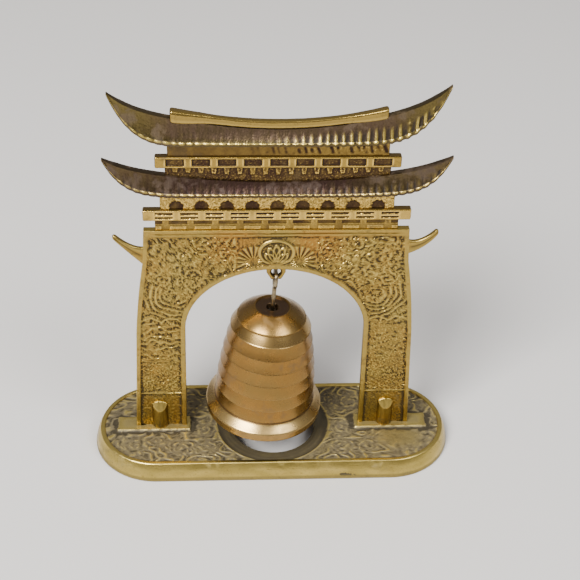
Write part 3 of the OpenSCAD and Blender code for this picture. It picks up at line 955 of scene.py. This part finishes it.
def base_shell():
    """The base as one closed sweep round the oval, from the hole out and back under."""
    count, rows = 640, 90
    outline = np.linspace(0, TAU, 4000)
    run = np.concatenate([[0], np.cumsum(np.hypot(*np.diff(oval_points(END_R, outline),
                                                           axis=0).T))])
    girth = np.linspace(0, run[-1], count, endpoint=False)
    theta = np.interp(girth, run, outline)
    c, s = np.cos(theta)[:, None], np.sin(theta)[:, None]
    field = np.hypot(*oval_points(FIELD_R, theta).T)[:, None]
    share = np.linspace(0, 1, rows)[None, :]
    near, far = HOLE_R + 0.25, np.maximum(field - 0.12, HOLE_R + 0.5)
    r = near + (far - near) * (0.9 * share + 0.1 * share**2)
    top = (r * c, r * s, *base_height(r * c, r * s))

    def wall(points, shade, dark):
        """Grids that follow the oval at (end radius, height) pairs."""
        xy = np.stack([oval_points(radius, theta) for radius, _ in points], 1)
        heights = np.array([[height for _, height in points]])
        return [xy[:, :, 0], xy[:, :, 1], heights + 0 * c, shade, dark]

    rim = wall([(21.25, RIM_Z - 0.28), (21.4, RIM_Z - 0.08), (21.65, RIM_Z), (22.1, RIM_Z),
                (22.55, RIM_Z - 0.02), (22.85, RIM_Z - 0.16)], 0.95, 0.0)
    steps = 22
    slope = steps_between((23.05, RIM_Z - 0.5), (24.75, 1.9), steps)
    body = wall([(radius + 0.25 * math.sin(math.pi * k / steps), height)
                 for k, (radius, height) in enumerate(slope)], 0.72, 0.0)
    toe = wall([(24.86, 1.45), (24.98, 1.1), (END_R, 0.8), (24.98, 0.35), (24.8, 0.06),
                (24.55, 0.0)], 0.4, 0.35)
    cave = wall([(22.6, 0.0), (22.38, 0.25)] + steps_between((22.3, 0.6), (21.7, 4.1), 6)
                + [(21.55, 4.3), (21.3, PLATE_Z)], 0.35, 0.6)
    x, y, rise = body[:3]
    pits = np.clip(N_FINE(girth[:, None] / 1.1, rise / 0.9) - 0.62, 0, 1) * 0.55
    flaw = 0.45 * smooth(1.0, 0.3, np.hypot((x - FLAW_X) / 3.6, (rise - 1.9) / 0.9)
                         + 0.5 * N_FINE(x / 0.9, rise / 0.6)) * (y < 0)
    swell = 0.05 * N_BROAD(girth[:, None] / 9, rise / 3) - np.minimum(pits, 0.16) - flaw
    body = [x + swell * c, y + swell * s, rise, np.clip(0.72 + 3.5 * swell, 0, 1), 0.0]
    out = np.hypot(cave[0][:, -1:], cave[1][:, -1:])
    r = out + (near - out) * np.linspace(0.03, 1, 10)[None, :]
    ceiling = (r * c, r * s, PLATE_Z + 0.05 * N_BROAD(r * c / 3, r * s / 3), 0.35, 0.6)
    bore = (HOLE_R * c, HOLE_R * s, np.array([[4.65, 5.3, 6.1]]), 0.5, 0.2)
    bore_top = ((HOLE_R + 0.06) * c, (HOLE_R + 0.06) * s, top[2][:, :1] - 0.12, 0.8, 0.0)
    return wrapped(top, rim, body, toe, cave, ceiling, bore, bore_top)


# ---- bell

BELL_AXIS = Vector(JOINTS["bell_spin"]["axis"]).normalized()
SWING_POINT = Vector(JOINTS["hanger_swing"]["pos_m"]) / MM
LEAN = math.atan2(BELL_AXIS.x, BELL_AXIS.z)
CROWN_Z, CROWN_R, RECESS_R, RECESS, CROWN_HOLE_R, CROWN_T = 65.5, 7.0, 6.3, 0.5, 2.3, 2.9
BAND_COUNT, BAND_STEP, WALL = 6, 0.52, 2.2
SHOULDER, SECOND, WAIST_BAND = (4.4, 13.0), (8.4, 15.2), (41.4, 19.2)   # drop, radius
FLARE, MOUTH = (44.6, 22.4), (48.0, 22.1)


def lean_over(points):
    """Points of the hanging group from plumb to where the bell hangs."""
    turn = np.array(Matrix.Rotation(LEAN, 3, "Y"))
    pivot = np.array(SWING_POINT)
    return (points - pivot) @ turn.T + pivot


def band_edge(k):
    """(drop, radius) at the foot of band k, where band 0 starts under SECOND."""
    t = k / BAND_COUNT
    return (SECOND[0] + (WAIST_BAND[0] - SECOND[0]) * t,
            SECOND[1] + (WAIST_BAND[1] - SECOND[1]) * (1 - (1 - t) ** 1.8))


def turned_face(start, stop, steps, swell, shade, fade):
    """A turned face from one (drop, radius) to the next, its shade rising by fade towards the foot
    as painted light.
    """
    rows = []
    for k in range(1, steps + 1):
        t = k / (steps + 1)
        drop = start[0] + (stop[0] - start[0]) * t
        radius = start[1] + (stop[1] - start[1]) * t + swell * math.sin(math.pi * t)
        rows.append((radius + 0.012 * math.sin(drop * 14.0), drop, shade + fade * t))
    return rows


def turned_step(edge, inner):
    """The small sharp step at the foot of a face: a painted highlight on its edge, painted shadow
    under it.
    """
    drop, radius = edge
    return [(radius - 0.01, drop - 0.10, 0.82), (radius - 0.06, drop - 0.02, 0.7),
            (inner + 0.02, drop + 0.06, 0.08), (inner, drop + 0.22, 0.34)]


def bell_profile():
    """(radius, drop below the crown, shade) down the outside, then up the inside; outside, the
    shade is painted light and shade.
    """
    under = 0.25                        # a face starts this far below the last step
    line = [(CROWN_HOLE_R, RECESS + 0.18, 0.1), (CROWN_HOLE_R + 0.2, RECESS, 0.3)]
    line += [(r, RECESS + 0.06 * math.sin(r * 2.2), 0.36)
             for r in np.linspace(2.9, RECESS_R - 0.5, 14)]
    line += [(RECESS_R - 0.2, RECESS + 0.04, 0.0), (RECESS_R, RECESS - 0.1, 0.2),
             (RECESS_R + 0.08, 0.06, 0.5), (RECESS_R + 0.2, 0.0, 0.6),
             (CROWN_R - 0.16, 0.0, 0.6), (CROWN_R + 0.02, 0.08, 0.5)]
    inner = SHOULDER[1] - BAND_STEP / 2
    line += turned_face((0.1, CROWN_R), SHOULDER, 20, 0.42, 0.62, 0.08)
    line += turned_step(SHOULDER, inner)
    line += turned_face((SHOULDER[0] + under, inner), SECOND, 16, 0.05, 0.74, 0.04)
    line += turned_step(SECOND, SECOND[1] - BAND_STEP)
    for k in range(BAND_COUNT):
        (drop, radius), foot = band_edge(k), band_edge(k + 1)
        line += turned_face((drop + under, radius - BAND_STEP), foot, 22, -0.11, 0.46, 0.16)
        if k < BAND_COUNT - 1:
            line += turned_step(foot, foot[1] - BAND_STEP)
    # painted shadow under the waist's step, then a painted highlight on the flare and the lip
    drop, radius = WAIST_BAND[0] + 0.4, WAIST_BAND[1] + 0.15
    line += [(WAIST_BAND[1] - 0.1, WAIST_BAND[0] + 0.1, 0.15), (radius, drop, 0.2)]
    for t in np.arange(1, 13) / 13:
        line.append((radius + (FLARE[1] - radius - 0.1) * t**1.15,
                     drop + (FLARE[0] - drop - 0.1) * t, 0.9 + 0.1 * t))
    line += [(FLARE[1] - 0.03, FLARE[0] + 0.05, 1.0)]
    line += [(FLARE[1] - 0.3 * t + 0.03 * math.sin(9 * t),
              FLARE[0] + (MOUTH[0] - FLARE[0]) * t, 0.7)
             for t in (0.08, 0.2, 0.35, 0.5, 0.65, 0.8, 0.92)]
    line += [(MOUTH[1] - 0.12, MOUTH[0] - 0.04, 0.9), (MOUTH[1] - 0.4, MOUTH[0], 0.8)]
    inside = [(MOUTH[1] - WALL, MOUTH[0] - 0.02), (WAIST_BAND[1] - WALL, FLARE[0] - 1)]
    for k in range(BAND_COUNT - 1, 0, -1):
        drop, radius = band_edge(k)
        inside.append((radius - BAND_STEP - WALL, drop))
    inside += [(SECOND[1] - WALL - 0.6, SECOND[0] + 1),
               (SHOULDER[1] - WALL - 2.4, CROWN_T + 2.2),
               (5.4, CROWN_T), (CROWN_HOLE_R + 0.1, CROWN_T), (CROWN_HOLE_R, CROWN_T - 0.15)]
    radii, drops = np.array(inside).T
    run = np.concatenate([[0], np.cumsum(np.hypot(np.diff(radii), np.diff(drops)))])
    want = np.linspace(0, run[-1], 60)
    line += [(r, d, 0.3) for r, d in zip(np.interp(want, run, radii),
                                         np.interp(want, run, drops))]
    line += [(CROWN_HOLE_R, 2.0, 0.2), (CROWN_HOLE_R, 1.2, 0.2)]
    return np.array(line)


def build_bell(material):
    profile = bell_profile()
    theta = np.linspace(0, TAU, 288, endpoint=False)[:, None]
    radius, drop, level = (column[None, :] for column in profile.T)
    middle_r = 18                        # the bell's radius about half-way up
    girth = theta * middle_r
    mouth = np.argmax(profile[:, 1])     # the profile goes up the inside after this point
    outside = (drop > 0.6) & (np.arange(len(profile)) < mouth)
    dents = 0.02 * N_BROAD(girth / TAU, drop / 5)
    pits = np.clip(N_LEAF(girth / 0.9, drop / 0.9) - 0.83, 0, 1) * 0.6
    r = radius + (dents - pits) * outside
    points = np.stack([r * np.cos(theta), r * np.sin(theta), CROWN_Z - drop + 0 * theta], 2)
    # the profile's shade (painted light and shade) and the real pits set the relief value
    relief = np.clip(level - 2 * pits * outside, 0, 1)
    recess = (drop < 0.7) & (radius < RECESS_R)
    inner = ~outside & (drop > 0.7)
    tone = np.where(recess, 1.0, np.where(inner, 0.7, 0.0)) + 0 * theta
    shape = Shape()
    shape.band(lean_over(points.reshape(-1, 3)).reshape(points.shape), relief, tone)
    shape.build("bell_turned", "bell_body", "bell", material, sharp=38)


# ---- pieces

gate_metal = aged_metal(
    "gate_brass_cast", (190, 164, 86), (144, 123, 64), (50, 40, 22), (92, 79, 43),
    rough=(0.30, 0.50), warm=(160, 127, 60), tone_colour=(162, 118, 54))
# its tone colour darkens the sunk dashes and slots, and paints shade on the top neck under the
# upper roof
frieze_metal = aged_metal(
    "frieze_brass_cast", (220, 184, 96), (156, 128, 62), (40, 28, 18), (88, 70, 40),
    tone_colour=(56, 38, 27), tone_dull=0.5)
upper_roof_metal = aged_metal(
    "upper_roof_patina", (212, 186, 98), (102, 89, 52), (38, 29, 19), (82, 67, 50),
    stain_share=0.45, rough=(0.3, 0.52), streaks=0.06, tone_colour=(90, 72, 58),
    metal=(1.0, 0.6), tone_dull=0.4)
lower_roof_metal = aged_metal(
    "lower_roof_patina", (190, 164, 88), (96, 82, 56), (26, 18, 14), (66, 51, 40),
    stain_share=0.6, rough=(0.3, 0.52), streaks=0.08, tone_colour=(54, 36, 31),
    metal=(1.0, 0.5), tone_dull=0.4)
# its crest and hollow colours also paint the cap's sheen, highlight line and shadow
ridge_metal = aged_metal(
    "ridge_brass_polished", (178, 150, 80), (142, 118, 60), (60, 48, 24), (104, 86, 48),
    stain_share=0.25, rough=(0.22, 0.4), grain=0.02)
base_metal = aged_metal(
    "base_brass_cast", (200, 176, 98), (164, 144, 74), (52, 45, 30), (112, 98, 58),
    stain_share=0.3, rough=(0.28, 0.58), metal=(1.0, 0.32), tone_colour=(106, 95, 71),
    tone_dull=0.9)
# on the bell the crest and hollow colours also paint the light and shade of the turned faces
bell_metal = aged_metal(
    "bell_brass_turned", (176, 148, 94), (132, 104, 57), (66, 48, 24), (112, 89, 54),
    stain_share=0.3, rough=(0.27, 0.40), grain=0.012, warm=(146, 108, 55),
    tone_colour=(94, 74, 57), speck=0.12)
wire_metal = aged_metal(
    "wire_steel_tarnished", (168, 156, 128), (134, 120, 92), (60, 50, 38), (98, 80, 58),
    stain_share=0.4, rough=(0.3, 0.5), relief=False)
fastener_metal = aged_metal(
    "fastener_steel", (178, 174, 166), (142, 138, 132), (64, 58, 52), (112, 96, 78),
    stain_share=0.3, rough=(0.28, 0.46), relief=False)
clapper_metal = aged_metal(
    "clapper_brass", (200, 168, 98), (160, 130, 72), (56, 44, 26), (100, 82, 50),
    stain_share=0.4, rough=(0.3, 0.5), relief=False)


def cast(name, node, slot, material, *shells):
    """Makes one piece of the stand from its lofts."""
    shape = Shape()
    for rings, relief, tone in shells:
        shape.loft(rings, relief, tone)
    shape.build(name, "stand", node, material)


build_gate(gate_metal)
cast("lower_frieze_cast", "lower_frieze", "gate_brass", frieze_metal,
     neck(42.9, GATE_TOP - 0.4, BEAM1_Z + OVERLAP, neck1_pattern, 0.08),
     beam(47.0, BEAM1_Z, beam1_pattern, 0.22),
     neck(40.9, BEAM1_Z + BEAM_H - OVERLAP, LOWER.low, neck2_pattern, 0.18))
cast("upper_frieze_cast", "upper_frieze", "gate_brass", frieze_metal,
     neck(38.7, lambda x: LOWER.top(x) - 0.3, BEAM2_Z + OVERLAP, neck3_pattern, -0.2),
     beam(42.0, BEAM2_Z, beam2_pattern, 0.05),
     neck(37.7, BEAM2_Z + BEAM_H - OVERLAP, UPPER.low, neck4_pattern, -0.04))
cast("lower_roof_ribbed", "lower_roof", "roof_brass", lower_roof_metal,
     roof_shell(LOWER, lambda u: 0.30 + 0.45 * smooth(0.0, 0.6, u), lower_tone,
                notch_from=0.80, seed=71, rib_sharp=0.45, shine=1.3))
cast("upper_roof_ribbed", "upper_roof", "roof_brass", upper_roof_metal,
     roof_shell(UPPER, lambda u: 0.12 + 0.88 * smooth(-0.15, 0.4, u), upper_tone,
                notch_from=0.70, seed=72, rib_sharp=1.5, shine=1.9))
cast("ridge_cap_polished_painted_light", "ridge_cap", "ridge_brass", ridge_metal, ridge_cap_shell())
base = Shape()
base.band(*base_shell())
base.build("base_cast", "stand", "base_casting", base_metal)
build_bell(bell_metal)

for metal, nodes in (
    (wire_metal, ("hanger_hook", "clapper_rod")),
    (fastener_metal, ("crown_washer", "left_leg_screw", "right_leg_screw",
                      "left_leg_washer", "right_leg_washer")),
    (clapper_metal, ("clapper_ball",)),
):
    for node in nodes:
        kept = frame["nodes"][node]
        kept.data.materials.clear()
        kept.data.materials.append(metal)


# ---- floor, light, camera


def make_floor():
    """A plain pale floor."""
    mesh = bpy.data.meshes.new("floor")
    reach = 1.5
    mesh.from_pydata([(-reach, -reach, 0), (reach, -reach, 0), (reach, reach, 0),
                      (-reach, reach, 0)], [], [(0, 1, 2, 3)])
    floor = bpy.data.objects.new("floor", mesh)
    bpy.context.scene.collection.objects.link(floor)
    material = bpy.data.materials.new("floor_pale")
    material.use_nodes = True
    shader = material.node_tree.nodes["Principled BSDF"]
    shader.inputs["Base Color"].default_value = colour((214, 211, 208))
    shader.inputs["Roughness"].default_value = 0.8
    mesh.materials.append(material)


def make_light(name, place, size, power, tint=(1, 1, 1)):
    """A soft square light aimed at the middle of the object."""
    data = bpy.data.lights.new(name, "AREA")
    data.shape, data.size, data.energy, data.color = "SQUARE", size, power, tint
    light = bpy.data.objects.new(name, data)
    light.location = place
    aim = Vector((0, 0, 0.07)) - Vector(place)
    light.rotation_mode = "QUATERNION"
    light.rotation_quaternion = aim.to_track_quat("-Z", "Y")
    bpy.context.scene.collection.objects.link(light)


def make_sky():
    """Soft light all round: bright overhead, greyer towards the horizon."""
    world = bpy.data.worlds.new("soft_sky")
    world.use_nodes = True
    tree = world.node_tree
    coords = tree.nodes.new("ShaderNodeTexCoord")
    split = tree.nodes.new("ShaderNodeSeparateXYZ")
    ramp = tree.nodes.new("ShaderNodeValToRGB")
    tree.links.new(coords.outputs["Generated"], split.inputs["Vector"])
    tree.links.new(split.outputs["Z"], ramp.inputs["Fac"])
    ramp.color_ramp.elements[0].position = 0.0
    ramp.color_ramp.elements[0].color = (0.30, 0.28, 0.30, 1)
    ramp.color_ramp.elements[1].position = 0.75
    ramp.color_ramp.elements[1].color = (0.58, 0.57, 0.56, 1)
    background = tree.nodes["Background"]
    tree.links.new(ramp.outputs["Color"], background.inputs["Color"])
    background.inputs["Strength"].default_value = 0.78
    bpy.context.scene.world = world


def make_camera():
    """The camera, above and in front, looking down at the gate."""
    yaw, pitch, roll = 0.069, 0.637, 0.032     # radians
    place = (-0.019402, -0.357357, 0.33777)
    ahead = Vector((math.sin(yaw) * math.cos(pitch), math.cos(yaw) * math.cos(pitch),
                    -math.sin(pitch)))
    right = Vector((math.cos(yaw), -math.sin(yaw), 0))
    up = right.cross(ahead)
    tilted_right = math.cos(roll) * right + math.sin(roll) * up
    tilted_up = math.cos(roll) * up - math.sin(roll) * right
    data = bpy.data.cameras.new("camera")
    data.sensor_width = 36
    data.lens = 75.326
    data.clip_start, data.clip_end = 0.01, 20
    camera = bpy.data.objects.new("camera", data)
    turn = Matrix((tilted_right, tilted_up, -ahead)).transposed().to_4x4()
    camera.matrix_world = Matrix.Translation(place) @ turn
    bpy.context.scene.collection.objects.link(camera)
    bpy.context.scene.camera = camera


make_floor()
make_sky()
make_light("key_front_left", (-0.65, -0.85, 1.20), 0.65, 50.0, (1.0, 0.99, 0.97))
make_light("fill_front_right", (0.75, -0.65, 1.15), 0.6, 12.0, (0.98, 0.99, 1.0))
make_camera()
